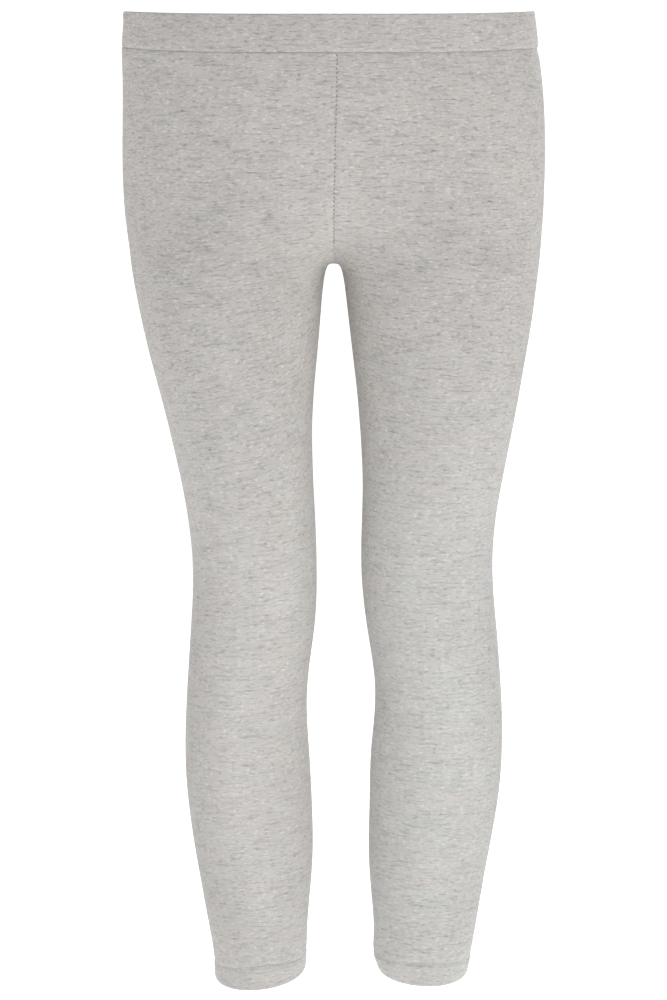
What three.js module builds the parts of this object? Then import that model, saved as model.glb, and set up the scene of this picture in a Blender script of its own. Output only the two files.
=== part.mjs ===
// Ankle-cropped leggings in jersey, worn shape, hollow. Millimetres, +Z up, front towards -Y.
// The origin is the middle of the waistband: the centre of its ring, at half its height.
import * as THREE from 'three';

// ---- driving dimensions -------------------------------------------------------------------------
const BAND_HEIGHT = 31.3;        // waistband, finished height
const BAND_TOP = BAND_HEIGHT / 2;
const CLOTH_WALL = 1.5;          // one layer of jersey
const HEM_WALL = 2.6;            // turned-up, doubled end of a leg
const HEM_DEPTH = 19.5;          // turned-up depth of the hem
const SEAM_GAP = 0.3;            // between pieces that are sewn together
const SIDE_RISE = 3.6;           // the band seam stands this much higher at the sides than in front
const TOP_RISE = 2.2;            // and the band's top edge this much
const TRUNK_SQUARENESS = 2.34;   // exponent of the hip sections (2 is an ellipse)
const LEG_SQUARENESS = 2.12;     // exponent of the leg sections
const THIGH_CLEAR = 3;           // how far a thigh's oval stays from the centre seam inside the hips
const SPLITS = 1;                // times each patch of the net below is split in four
const FIT_ROUNDS = 14;           // rounds that draw the smooth surface through the section points

// Columns run from the centre front round the outside to the centre back, then back along the inner leg.
const OUTER_COLUMNS = 10;
const INNER_COLUMNS = 3;
const RING = OUTER_COLUMNS + 1 + INNER_COLUMNS;

// Hip sections from the waist down. left/right: silhouette seen from the front; front/back: side view;
// cf/cb: how far the centre front and centre back lie in from the front and back; seam: x of the centre seam;
// legs: how far the section has turned from one oval into the two ovals of the legs (0 to 1).
const TRUNK = [
  { z: -16.0, left: -173.7, right: 174.7, front: -106, back: 100, cf: 0.0, cb: 1.0, seam: 6.3, rise: 1.0, legs: 0.00 },
  { z: -50.0, left: -173.2, right: 178.9, front: -111, back: 109, cf: 0.5, cb: 3.0, seam: 6.0, rise: 0.7, legs: 0.02 },
  { z: -88.0, left: -173.8, right: 181.3, front: -112, back: 118, cf: 2.0, cb: 5.0, seam: 4.9, rise: 0.4, legs: 0.08 },
  { z: -122.0, left: -173.9, right: 181.2, front: -108, back: 121, cf: 5.0, cb: 7.0, seam: 4.2, rise: 0.2, legs: 0.22 },
  { z: -153.0, left: -172.1, right: 180.1, front: -103, back: 117, cf: 13.0, cb: 14.0, seam: 3.8, rise: 0.0, legs: 0.45 },
];
// The last hip section, where the crotch seam leaves it: its centre points sit on the crotch curve.
const FORK = { z: -181.0, left: -168.5, right: 178.0, front: -98.5, back: 109, cf: 33.0, cb: 31.0, seam: 3.6, rise: 0.0, legs: 0.75 };
const FORK_FRONT_Z = -176.0;
const FORK_BACK_Z = -170.0;
// Crotch seam between those two points, from back to front.
const CROTCH = [
  { y: 46, z: -186.5 },
  { y: 9, z: -192.4 },
  { y: -32, z: -189.0 },
];
// Leg sections from the crotch down. Out/In: silhouettes of the two legs; front/back: side view;
// turn: how far the columns have moved round from the hip layout to the leg layout (0 to 1);
// tilt: slope of the section's plane, front lower; Lean: slope across it, inner side higher; rightLift: the
// +X leg's section sits this much higher.
const LEGS = [
  { z: -201.0, leftOut: -166.0, leftIn: -3.4, rightIn: 11.0, rightOut: 176.1, front: -94.5, back: 103.0, turn: 0.60, tilt: 0.00, leftLean: 0.000, rightLean: 0.000, rightLift: 0.0 },
  { z: -242.0, leftOut: -158.2, leftIn: -7.9, rightIn: 16.5, rightOut: 170.6, front: -92.5, back: 92.5, turn: 0.90, tilt: 0.00, leftLean: 0.000, rightLean: 0.000, rightLift: 0.0 },
  { z: -284.0, leftOut: -147.9, leftIn: -11.6, rightIn: 21.5, rightOut: 163.6, front: -90.5, back: 84.0, turn: 1.00, tilt: 0.00, leftLean: 0.000, rightLean: 0.000, rightLift: 0.0 },
  { z: -334.0, leftOut: -135.0, leftIn: -14.5, rightIn: 26.2, rightOut: 154.5, front: -87.5, back: 76.5, turn: 1.00, tilt: 0.00, leftLean: 0.000, rightLean: 0.000, rightLift: 0.0 },
  { z: -388.0, leftOut: -123.4, leftIn: -13.0, rightIn: 28.1, rightOut: 144.2, front: -81.5, back: 67.5, turn: 1.00, tilt: 0.00, leftLean: 0.000, rightLean: 0.000, rightLift: 0.0 },
  { z: -444.0, leftOut: -116.3, leftIn: -10.8, rightIn: 27.0, rightOut: 138.5, front: -74.0, back: 58.0, turn: 1.00, tilt: 0.00, leftLean: 0.000, rightLean: 0.000, rightLift: 0.0 },
  { z: -500.0, leftOut: -117.7, leftIn: -12.6, rightIn: 31.8, rightOut: 142.0, front: -67.5, back: 52.0, turn: 1.00, tilt: 0.00, leftLean: 0.000, rightLean: 0.000, rightLift: 0.0 },
  { z: -556.0, leftOut: -121.4, leftIn: -19.0, rightIn: 39.0, rightOut: 146.5, front: -60.0, back: 53.5, turn: 1.00, tilt: 0.00, leftLean: 0.000, rightLean: 0.000, rightLift: 0.0 },
  { z: -610.0, leftOut: -123.7, leftIn: -17.5, rightIn: 35.9, rightOut: 148.0, front: -51.0, back: 60.5, turn: 1.00, tilt: 0.02, leftLean: 0.000, rightLean: 0.000, rightLift: 0.0 },
  { z: -660.0, leftOut: -120.9, leftIn: -15.0, rightIn: 34.4, rightOut: 144.1, front: -43.0, back: 64.5, turn: 1.00, tilt: 0.05, leftLean: 0.000, rightLean: 0.000, rightLift: 0.0 },
  { z: -708.0, leftOut: -114.2, leftIn: -14.6, rightIn: 34.1, rightOut: 136.0, front: -36.0, back: 62.5, turn: 1.00, tilt: 0.09, leftLean: 0.000, rightLean: 0.000, rightLift: 0.0 },
  { z: -750.0, leftOut: -106.6, leftIn: -18.0, rightIn: 37.2, rightOut: 129.0, front: -31.5, back: 57.5, turn: 1.00, tilt: 0.13, leftLean: 0.020, rightLean: 0.010, rightLift: 0.7 },
  { z: -784.5, leftOut: -100.5, leftIn: -19.6, rightIn: 39.6, rightOut: 123.2, front: -29.0, back: 53.5, turn: 1.00, tilt: 0.15, leftLean: 0.060, rightLean: 0.030, rightLift: 2.2 },
  { z: -804.0, leftOut: -98.9, leftIn: -20.9, rightIn: 42.9, rightOut: 119.4, front: -28.0, back: 52.0, turn: 1.00, tilt: 0.22, leftLean: 0.100, rightLean: 0.045, rightLift: 3.1 },
];
// Waistband section: height from the band's lower edge as a share of its height, and how far its outer
// and inner faces stand out from the panels' top edge.
const BAND = [
  { share: 0.00, out: -0.6, inn: -3.2 },
  { share: 0.10, out: -0.1, inn: -3.1 },
  { share: 0.45, out: -0.8, inn: -3.6 },
  { share: 0.80, out: -1.8, inn: -4.6 },
  { share: 0.95, out: -2.2, inn: -5.0 },
  { share: 1.00, out: -3.0, inn: -4.4 },
];
const COLOURS = { leg_panel_left: 0xc4c1be, leg_panel_right: 0xc1bebb, waistband: 0xbebbb8 };

// ---- sections -----------------------------------------------------------------------------------
const DEG = Math.PI / 180;
const bend = (value, power) => Math.sign(value) * Math.abs(value) ** power;

// A point on a squared ellipse; angle 0 is the front, 90 degrees the garment's outer side.
function sectionPoint(section, angle, squareness) {
  const power = 2 / squareness;
  const middle = (section.front + section.back) / 2;
  const half = (section.back - section.front) / 2;
  return { across: bend(Math.sin(angle), power), y: middle - half * bend(Math.cos(angle), power), middle };
}

function hipPoint(section, side, column) {
  const angle = (180 / OUTER_COLUMNS) * column * DEG;
  const p = sectionPoint(section, angle, TRUNK_SQUARENESS);
  const reach = (side > 0 ? section.right : section.left) - section.seam;
  const x = section.seam + reach * p.across;
  const near = Math.exp(-(((x - section.seam) / 46) ** 2));
  const inwards = Math.cos(angle) > 0 ? section.cf * near : -section.cb * near;
  const hip = new THREE.Vector3(x, p.y + inwards, section.z + section.rise * SIDE_RISE * Math.abs(p.across) ** 4);
  if (column === 0 || column === OUTER_COLUMNS) return hip;
  const inner = section.seam + side * THIGH_CLEAR;
  const thigh = legPoint({ ...section, turn: 0.5, tilt: 0, leftLean: 0, rightLean: 0, rightLift: 0, leftOut: section.left, leftIn: inner,
    rightIn: inner, rightOut: section.right }, side, column);
  return hip.lerp(thigh.setZ(hip.z), section.legs);
}

// Angle of a column on a leg section. The columns by the centre line turn in first.
function legAngle(column, turn) {
  const step = 360 / RING;
  const lead = (OUTER_COLUMNS * step - 180) / 2;
  if (column > OUTER_COLUMNS) return 180 + lead + ((180 - 2 * lead) * (column - OUTER_COLUMNS)) / (INNER_COLUMNS + 1);
  const half = OUTER_COLUMNS / 2;
  const share = turn + (1 - turn) * Math.abs((column - half) / half) ** 3;
  const hip = (180 / OUTER_COLUMNS) * column;
  return hip + (step * column - lead - hip) * share;
}

function legPoint(row, side, column) {
  const p = sectionPoint(row, legAngle(column, row.turn) * DEG, LEG_SQUARENESS);
  const outer = side > 0 ? row.rightOut : row.leftOut;
  const inner = side > 0 ? row.rightIn : row.leftIn;
  const x = (outer + inner) / 2 + ((outer - inner) / 2) * p.across;
  const lean = side > 0 ? row.rightLean : row.leftLean;
  const lift = side > 0 ? row.rightLift : 0;
  const inwards = (side * (inner + outer)) / 2 - side * x;
  return new THREE.Vector3(x, p.y, row.z + row.tilt * (p.y - p.middle) + lean * inwards + lift);
}

// ---- the net of section points: both panels, joined on the centre line ---------------------------
function garmentNet() {
  const points = [];
  const faces = [];
  const sides = [];
  const add = (p) => points.push(p) - 1;
  const hips = [...TRUNK, FORK];
  const centreFront = [];
  const centreBack = [];
  const crotch = CROTCH.map((c) => add(new THREE.Vector3(FORK.seam, c.y, c.z)));
  for (const side of [-1, 1]) {
    const rings = [];
    hips.forEach((section, r) => {
      const ring = [];
      for (let c = 0; c <= OUTER_COLUMNS; c += 1) {
        const centre = c === 0 ? centreFront : c === OUTER_COLUMNS ? centreBack : null;
        if (centre && centre[r] !== undefined) { ring.push(centre[r]); continue; }
        const p = hipPoint(section, side, c);
        if (section === FORK && centre) p.z = c === 0 ? FORK_FRONT_Z : FORK_BACK_Z;
        const id = add(p);
        if (centre) centre[r] = id;
        ring.push(id);
      }
      rings.push(ring);
    });
    rings[rings.length - 1].push(...crotch);
    for (const row of LEGS) {
      const ring = [];
      for (let c = 0; c < RING; c += 1) ring.push(add(legPoint(row, side, c)));
      rings.push(ring);
    }
    for (let r = 0; r + 1 < rings.length; r += 1) {
      const closed = r >= hips.length - 1;
      const count = closed ? RING : OUTER_COLUMNS;
      for (let c = 0; c < count; c += 1) {
        const d = (c + 1) % RING;
        const quad = [rings[r][c], rings[r + 1][c], rings[r + 1][d], rings[r][d]];
        faces.push(side > 0 ? quad : quad.reverse());
        sides.push(side);
      }
    }
  }
  return { points, faces, sides };
}

// ---- smooth surface over a net of four-sided patches ----------------------------------------------
function netLinks(net) {
  const edges = new Map();
  const around = net.points.map(() => ({ edges: [], faces: [] }));
  net.faces.forEach((face, f) => {
    face.forEach((a, k) => {
      const b = face[(k + 1) % 4];
      const key = a < b ? `${a}_${b}` : `${b}_${a}`;
      if (!edges.has(key)) {
        const edge = { a, b, faces: [] };
        edges.set(key, edge);
        around[a].edges.push(edge);
        around[b].edges.push(edge);
      }
      edges.get(key).faces.push(f);
      around[a].faces.push(f);
    });
  });
  return { edges, around };
}
const otherEnd = (edge, v) => (edge.a === v ? edge.b : edge.a);

// Where each net point ends up on the smooth surface.
function restingPoints(net, links) {
  return net.points.map((p, v) => {
    const { edges, faces } = links.around[v];
    const rim = edges.filter((e) => e.faces.length === 1);
    const sum = new THREE.Vector3();
    if (rim.length) {
      rim.forEach((e) => sum.add(net.points[otherEnd(e, v)]));
      return sum.addScaledVector(p, 4).divideScalar(6);
    }
    const n = edges.length;
    sum.addScaledVector(p, n * n);
    edges.forEach((e) => sum.addScaledVector(net.points[otherEnd(e, v)], 4));
    faces.forEach((f) => sum.add(net.points[net.faces[f][(net.faces[f].indexOf(v) + 2) % 4]]));
    return sum.divideScalar(n * (n + 5));
  });
}

function splitNet(net) {
  const links = netLinks(net);
  const mean = (ids, list) => ids.reduce((s, i) => s.add(list[i]), new THREE.Vector3()).divideScalar(ids.length);
  const middles = net.faces.map((face) => mean(face, net.points));
  const points = net.points.map((p, v) => {
    const { edges, faces } = links.around[v];
    const rim = edges.filter((e) => e.faces.length === 1);
    if (rim.length) {
      const q = p.clone().multiplyScalar(0.75);
      rim.forEach((e) => q.addScaledVector(net.points[otherEnd(e, v)], 0.125));
      return q;
    }
    const n = edges.length;
    const q = p.clone().multiplyScalar(n - 2);
    q.add(mean(edges.map((e) => otherEnd(e, v)), net.points));
    return q.add(mean(faces, middles)).divideScalar(n);
  });
  const faceAt = middles.map((m) => points.push(m) - 1);
  const edgeAt = new Map();
  for (const [key, e] of links.edges) {
    const ends = mean([e.a, e.b], net.points);
    const m = e.faces.length === 1 ? ends : ends.add(mean(e.faces, middles)).multiplyScalar(0.5);
    edgeAt.set(key, points.push(m) - 1);
  }
  const faces = [];
  const sides = [];
  net.faces.forEach((face, f) => {
    const at = (k) => {
      const a = face[k % 4];
      const b = face[(k + 1) % 4];
      return edgeAt.get(a < b ? `${a}_${b}` : `${b}_${a}`);
    };
    for (let k = 0; k < 4; k += 1) {
      faces.push([face[k], at(k), faceAt[f], at(k + 3)]);
      sides.push(net.sides[f]);
    }
  });
  return { points, faces, sides };
}

function smoothGarment() {
  let net = garmentNet();
  const wanted = net.points.map((p) => p.clone());
  const links = netLinks(net);
  for (let i = 0; i < FIT_ROUNDS; i += 1) {
    restingPoints(net, links).forEach((p, v) => net.points[v].add(wanted[v]).sub(p));
  }
  for (let i = 0; i < SPLITS; i += 1) net = splitNet(net);
  net.points = restingPoints(net, netLinks(net));
  return net;
}

function outwardNormals(points, faces) {
  const normals = points.map(() => new THREE.Vector3());
  const u = new THREE.Vector3();
  const w = new THREE.Vector3();
  for (const [a, b, c, d] of faces) {
    u.subVectors(points[c], points[a]);
    w.subVectors(points[d], points[b]);
    const n = u.clone().cross(w);
    for (const v of [a, b, c, d]) normals[v].add(n);
  }
  return normals.map((n) => n.normalize());
}

// ---- solids ---------------------------------------------------------------------------------------
function closedMesh(name, positions, quads) {
  const index = [];
  for (const [a, b, c, d] of quads) {
    const short = positions[a].distanceToSquared(positions[c]) <= positions[b].distanceToSquared(positions[d]);
    if (short) index.push(a, b, c, a, c, d);
    else index.push(a, b, d, b, c, d);
  }
  const geometry = new THREE.BufferGeometry();
  geometry.setAttribute('position', new THREE.Float32BufferAttribute(positions.flatMap((p) => [p.x, p.y, p.z]), 3));
  geometry.setIndex(index);
  geometry.computeVertexNormals();
  const material = new THREE.MeshStandardMaterial({ color: COLOURS[name], roughness: 0.92, metalness: 0 });
  const mesh = new THREE.Mesh(geometry, material);
  mesh.name = name;
  return mesh;
}

// One leg panel: its outer face, the inner face one wall further in, and the rims between them.
function legPanel(name, garment, normals, hemDistance, side) {
  const quads = garment.faces.filter((_, f) => garment.sides[f] === side);
  const shared = new Set();
  garment.faces.forEach((face, f) => { if (garment.sides[f] !== side) face.forEach((v) => shared.add(v)); });
  const local = new Map();
  const outer = [];
  const inner = [];
  for (const v of new Set(quads.flat())) {
    const p = garment.points[v].clone();
    const n = normals[v].clone();
    if (shared.has(v)) { p.x += (side * SEAM_GAP) / 2; n.x = 0; n.normalize(); }
    const doubled = THREE.MathUtils.clamp((HEM_DEPTH + 6 - hemDistance[v]) / 6, 0, 1);
    const wall = CLOTH_WALL + (HEM_WALL - CLOTH_WALL) * doubled;
    local.set(v, outer.length);
    outer.push(p);
    inner.push(p.clone().addScaledVector(n, -wall));
  }
  const m = outer.length;
  const out = quads.map((q) => q.map((v) => local.get(v)));
  const all = out.map((q) => [...q]);
  out.forEach(([a, b, c, d]) => all.push([d + m, c + m, b + m, a + m]));
  const seen = new Set(out.flatMap((q) => q.map((a, k) => `${a}_${q[(k + 1) % 4]}`)));
  for (const q of out) {
    q.forEach((a, k) => {
      const b = q[(k + 1) % 4];
      if (!seen.has(`${b}_${a}`)) all.push([b, a, a + m, b + m]);
    });
  }
  return closedMesh(name, [...outer, ...inner], all);
}

// The waistband: a ring that follows the panels' top edge, just clear of it.
function waistband(name, garment, normals) {
  const links = netLinks(garment);
  const start = garment.points.reduce((best, p, v) => (p.z > garment.points[best].z ? v : best), 0);
  const loop = [start];
  for (;;) {
    const here = loop[loop.length - 1];
    const next = links.around[here].edges
      .filter((e) => e.faces.length === 1)
      .map((e) => otherEnd(e, here))
      .find((v) => !loop.includes(v));
    if (next === undefined) break;
    loop.push(next);
  }
  const [a, b, c] = loop.map((v) => garment.points[v]);
  const anticlockwise = a.clone().sub(b).cross(c.clone().sub(b)).z < 0;
  if (!anticlockwise) loop.reverse();
  const profile = [...BAND.map((s) => ({ share: s.share, off: s.out })),
    ...[...BAND].reverse().map((s) => ({ share: s.share, off: s.inn }))];
  const positions = [];
  for (const v of loop) {
    const p = garment.points[v];
    const n = normals[v].clone().setZ(0).normalize();
    const sideways = THREE.MathUtils.clamp((p.z + 16.0) / SIDE_RISE, 0, 1);
    const low = p.z + SEAM_GAP;
    const high = BAND_TOP + TOP_RISE * sideways;
    for (const s of profile) positions.push(new THREE.Vector3(p.x + n.x * s.off, p.y + n.y * s.off, low + (high - low) * s.share));
  }
  const quads = [];
  const count = profile.length;
  for (let i = 0; i < loop.length; i += 1) {
    const j = (i + 1) % loop.length;
    for (let k = 0; k < count; k += 1) {
      const l = (k + 1) % count;
      quads.push([i * count + k, j * count + k, j * count + l, i * count + l]);
    }
  }
  return closedMesh(name, positions, quads);
}

// Distance of each point above its leg's hem edge, along the leg.
function heightsAboveHem(garment) {
  const hem = LEGS[LEGS.length - 1];
  return garment.points.map((p) => {
    const side = Math.sign(p.x) || 1;
    const centre = side > 0 ? (hem.rightIn + hem.rightOut) / 2 : (hem.leftIn + hem.leftOut) / 2;
    const lean = side > 0 ? hem.rightLean : hem.leftLean;
    const lift = side > 0 ? hem.rightLift : 0;
    const edge = hem.z + hem.tilt * (p.y - (hem.front + hem.back) / 2) + lean * side * (centre - p.x) + lift;
    return p.z - edge;
  });
}

const garment = smoothGarment();
const normals = outwardNormals(garment.points, garment.faces);
const hemDistance = heightsAboveHem(garment);

const leggings = new THREE.Group();
leggings.name = 'leggings';
leggings.add(legPanel('leg_panel_left', garment, normals, hemDistance, 1));
leggings.add(legPanel('leg_panel_right', garment, normals, hemDistance, -1));
leggings.add(waistband('waistband', garment, normals));

export default leggings;
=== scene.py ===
"""Ankle-cropped leggings in light grey marl jersey, worn shape, hollow.
Tables and net in millimetres, front towards -Y, +X is the garment's left side; meshes are made in metres."""

import math

import bpy
import numpy as np
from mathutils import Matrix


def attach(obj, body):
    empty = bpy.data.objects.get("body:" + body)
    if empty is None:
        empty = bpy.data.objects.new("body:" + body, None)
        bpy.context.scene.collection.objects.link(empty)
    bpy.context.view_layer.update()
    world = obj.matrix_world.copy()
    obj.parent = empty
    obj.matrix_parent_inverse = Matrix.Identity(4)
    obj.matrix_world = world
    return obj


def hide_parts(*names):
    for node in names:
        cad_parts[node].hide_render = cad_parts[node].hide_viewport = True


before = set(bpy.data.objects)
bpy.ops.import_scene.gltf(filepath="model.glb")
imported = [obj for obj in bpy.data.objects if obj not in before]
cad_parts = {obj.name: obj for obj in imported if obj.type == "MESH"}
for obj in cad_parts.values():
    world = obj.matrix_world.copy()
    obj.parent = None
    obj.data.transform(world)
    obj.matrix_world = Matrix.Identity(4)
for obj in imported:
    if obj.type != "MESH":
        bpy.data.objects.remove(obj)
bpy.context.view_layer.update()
MM = 0.001

# ---- the garment's sections, as in the part -------------------------------------------------------
BAND_TOP = 31.3 / 2
SEAM_GAP = 0.04               # sewn edges meet: only a hair's breadth is left between the meshes
SIDE_RISE = 3.6
TOP_RISE = 2.2
HEM_DEPTH = 19.5
TRUNK_SQUARENESS = 2.34
LEG_SQUARENESS = 2.12
THIGH_CLEAR = 3.0
FIT_ROUNDS = 14
OUTER_COLUMNS = 10
INNER_COLUMNS = 3
RING = OUTER_COLUMNS + 1 + INNER_COLUMNS

HIP_KEYS = ("z", "left", "right", "front", "back", "cf", "cb", "seam", "rise", "legs")
TRUNK = [dict(zip(HIP_KEYS, row)) for row in (
    (-16.0, -173.7, 174.7, -106, 100, 0.0, 1.0, 6.3, 1.0, 0.00),
    (-50.0, -173.2, 178.9, -111, 109, 0.5, 3.0, 6.0, 0.7, 0.02),
    (-88.0, -173.8, 181.3, -112, 118, 2.0, 5.0, 4.9, 0.4, 0.08),
    (-122.0, -173.9, 181.2, -108, 121, 5.0, 7.0, 4.2, 0.2, 0.22),
    (-153.0, -172.1, 180.1, -103, 117, 13.0, 14.0, 3.8, 0.0, 0.45),
    (-181.0, -168.5, 178.0, -98.5, 109, 33.0, 31.0, 3.6, 0.0, 0.75),
)]
FORK_FRONT_Z = -176.0
FORK_BACK_Z = -170.0
CROTCH = ((46.0, -187.3), (9.0, -193.3), (-32.0, -189.8))
LEG_KEYS = ("z", "leftOut", "leftIn", "rightIn", "rightOut", "front", "back", "turn", "tilt", "leftLean", "rightLean", "rightLift")
LEGS = [dict(zip(LEG_KEYS, row)) for row in (
    (-201.0, -166.0, -3.4, 11.0, 176.1, -94.5, 103.0, 0.60, 0.00, 0.00, 0.000, 0.0),
    (-242.0, -158.2, -7.9, 16.5, 170.6, -92.5, 92.5, 0.90, 0.00, 0.00, 0.000, 0.0),
    (-284.0, -147.9, -11.6, 21.5, 163.6, -90.5, 84.0, 1.00, 0.00, 0.00, 0.000, 0.0),
    (-334.0, -135.0, -14.5, 26.2, 154.5, -87.5, 76.5, 1.00, 0.00, 0.00, 0.000, 0.0),
    (-388.0, -123.4, -13.0, 28.1, 144.2, -81.5, 67.5, 1.00, 0.00, 0.00, 0.000, 0.0),
    (-444.0, -116.3, -10.8, 27.0, 138.5, -74.0, 58.0, 1.00, 0.00, 0.00, 0.000, 0.0),
    (-500.0, -117.7, -12.6, 31.8, 142.0, -67.5, 52.0, 1.00, 0.00, 0.00, 0.000, 0.0),
    (-556.0, -121.4, -19.0, 39.0, 146.5, -60.0, 53.5, 1.00, 0.00, 0.00, 0.000, 0.0),
    (-610.0, -123.7, -17.5, 35.9, 148.0, -51.0, 60.5, 1.00, 0.02, 0.00, 0.000, 0.0),
    (-660.0, -120.9, -15.0, 34.4, 144.1, -43.0, 64.5, 1.00, 0.05, 0.00, 0.000, 0.0),
    (-708.0, -114.2, -14.6, 34.1, 136.0, -36.0, 62.5, 1.00, 0.09, 0.00, 0.000, 0.0),
    (-750.0, -106.6, -18.0, 37.2, 129.0, -31.5, 57.5, 1.00, 0.13, 0.02, 0.010, 0.7),
    (-784.5, -100.5, -19.6, 39.6, 123.2, -29.0, 53.5, 1.00, 0.15, 0.06, 0.030, 2.2),
    (-804.0, -98.9, -20.9, 42.9, 119.4, -28.0, 52.0, 1.00, 0.22, 0.10, 0.045, 3.1),
)]
BAND = ((0.00, -0.6, -3.2), (0.10, -0.1, -3.1), (0.45, -0.8, -3.6), (0.80, -1.8, -4.6), (0.95, -2.2, -5.0), (1.00, -3.0, -4.4))


def bend(value, power):
    return math.copysign(abs(value) ** power, value)


def section_point(section, angle, squareness):
    power = 2 / squareness
    middle = (section["front"] + section["back"]) / 2
    half = (section["back"] - section["front"]) / 2
    return bend(math.sin(angle), power), middle - half * bend(math.cos(angle), power), middle


def hip_point(section, side, column):
    angle = math.radians(180 / OUTER_COLUMNS * column)
    across, y, _ = section_point(section, angle, TRUNK_SQUARENESS)
    reach = (section["right"] if side > 0 else section["left"]) - section["seam"]
    x = section["seam"] + reach * across
    near = math.exp(-(((x - section["seam"]) / 46) ** 2))
    inwards = section["cf"] * near if math.cos(angle) > 0 else -section["cb"] * near
    hip = np.array((x, y + inwards, section["z"] + section["rise"] * SIDE_RISE * abs(across) ** 4))
    if column in (0, OUTER_COLUMNS):
        return hip
    inner = section["seam"] + side * THIGH_CLEAR
    row = dict(z=hip[2], front=section["front"], back=section["back"], turn=0.5, tilt=0, leftLean=0, rightLean=0, rightLift=0,
               leftOut=section["left"], leftIn=inner, rightIn=inner, rightOut=section["right"])
    thigh = leg_point(row, side, column)
    return hip + (thigh - hip) * section["legs"]


def leg_angle(column, turn):
    step = 360 / RING
    lead = (OUTER_COLUMNS * step - 180) / 2
    if column > OUTER_COLUMNS:
        return 180 + lead + (180 - 2 * lead) * (column - OUTER_COLUMNS) / (INNER_COLUMNS + 1)
    half = OUTER_COLUMNS / 2
    share = turn + (1 - turn) * abs((column - half) / half) ** 3
    hip = 180 / OUTER_COLUMNS * column
    return hip + (step * column - lead - hip) * share


def leg_point(row, side, column):
    across, y, middle = section_point(row, math.radians(leg_angle(column, row["turn"])), LEG_SQUARENESS)
    outer = row["rightOut"] if side > 0 else row["leftOut"]
    inner = row["rightIn"] if side > 0 else row["leftIn"]
    x = (outer + inner) / 2 + (outer - inner) / 2 * across
    lean = row["rightLean"] if side > 0 else row["leftLean"]
    lift = row["rightLift"] if side > 0 else 0
    inwards = side * (inner + outer) / 2 - side * x
    return np.array((x, y, row["z"] + row["tilt"] * (y - middle) + lean * inwards + lift))


# ---- the net and its smooth surface ----------------------------------------------------------------
def garment_net():
    """Points, four-cornered faces, and each face's side, row and column."""
    points, faces, where = [], [], []

    def add(p):
        points.append(np.asarray(p, float))
        return len(points) - 1

    crotch = [add((TRUNK[-1]["seam"], y, z)) for y, z in CROTCH]
    front, back = {}, {}
    for side in (-1, 1):
        rings = []
        for r, section in enumerate(TRUNK):
            ring = []
            for c in range(OUTER_COLUMNS + 1):
                centre = front if c == 0 else back if c == OUTER_COLUMNS else None
                if centre is not None and r in centre:
                    ring.append(centre[r])
                    continue
                p = hip_point(section, side, c)
                if r == len(TRUNK) - 1 and centre is not None:
                    p[2] = FORK_FRONT_Z if c == 0 else FORK_BACK_Z
                ring.append(add(p))
                if centre is not None:
                    centre[r] = ring[-1]
            rings.append(ring)
        rings[-1] += crotch
        for row in LEGS:
            rings.append([add(leg_point(row, side, c)) for c in range(RING)])
        for r in range(len(rings) - 1):
            for c in range(RING if r >= len(TRUNK) - 1 else OUTER_COLUMNS):
                d = (c + 1) % RING
                faces.append((rings[r][c], rings[r + 1][c], rings[r + 1][d], rings[r][d]))
                where.append((side, r, c))
    return np.array(points), np.array(faces), np.array(where)


def links(faces, n):
    ends = np.sort(np.stack([faces, np.roll(faces, -1, 1)], 2).reshape(-1, 2), 1)
    keys, inverse, count = np.unique(ends[:, 0].astype(np.int64) * n + ends[:, 1], return_inverse=True, return_counts=True)
    return np.stack([keys // n, keys % n], 1), inverse.reshape(-1, 4), count


def gather(index, values, n):
    return np.stack([np.bincount(index, values[:, k], n) for k in range(values.shape[1])], 1)


def sum_of_neighbours(points, ends, n):
    return gather(ends[:, 0], points[ends[:, 1]], n) + gather(ends[:, 1], points[ends[:, 0]], n)


def resting_points(points, faces):
    n = len(points)
    ends, _, count = links(faces, n)
    valence = np.bincount(ends.ravel(), minlength=n)[:, None]
    around = sum_of_neighbours(points, ends, n)
    across = sum(gather(faces[:, k], points[faces[:, (k + 2) % 4]], n) for k in range(4))
    out = (valence ** 2 * points + 4 * around + across) / (valence * (valence + 5))
    rim = ends[count == 1]
    at = np.unique(rim)
    out[at] = ((4 * points + sum_of_neighbours(points, rim, n)) / 6)[at]
    return out


def split_net(points, faces, where):
    n = len(points)
    ends, face_edges, count = links(faces, n)
    middles = points[faces].mean(1)
    valence = np.bincount(ends.ravel(), minlength=n)[:, None]
    corners = sum(gather(faces[:, k], middles, n) for k in range(4))
    moved = ((valence - 2) * points + sum_of_neighbours(points, ends, n) / valence + corners / valence) / valence
    rim = ends[count == 1]
    at = np.unique(rim)
    moved[at] = (0.75 * points + 0.125 * sum_of_neighbours(points, rim, n))[at]
    half = points[ends].mean(1)
    beside = sum(gather(face_edges[:, k], middles, len(ends)) for k in range(4)) / count[:, None]
    edge_points = np.where(count[:, None] == 1, half, (half + beside) / 2)
    f = n + np.arange(len(faces))
    e = n + len(faces) + face_edges
    v = faces
    children = np.stack([
        np.stack([v[:, 0], e[:, 0], f, e[:, 3]], 1),
        np.stack([e[:, 0], v[:, 1], e[:, 1], f], 1),
        np.stack([f, e[:, 1], v[:, 2], e[:, 2]], 1),
        np.stack([e[:, 3], f, e[:, 2], v[:, 3]], 1),
    ], 1).reshape(-1, 4)
    grown = np.repeat(where, 4, 0)
    grown[:, 1:] = grown[:, 1:] * 2 + np.tile(np.array([(0, 0), (1, 0), (1, 1), (0, 1)]), (len(faces), 1))
    return np.vstack([moved, middles, edge_points]), children, grown


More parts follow.
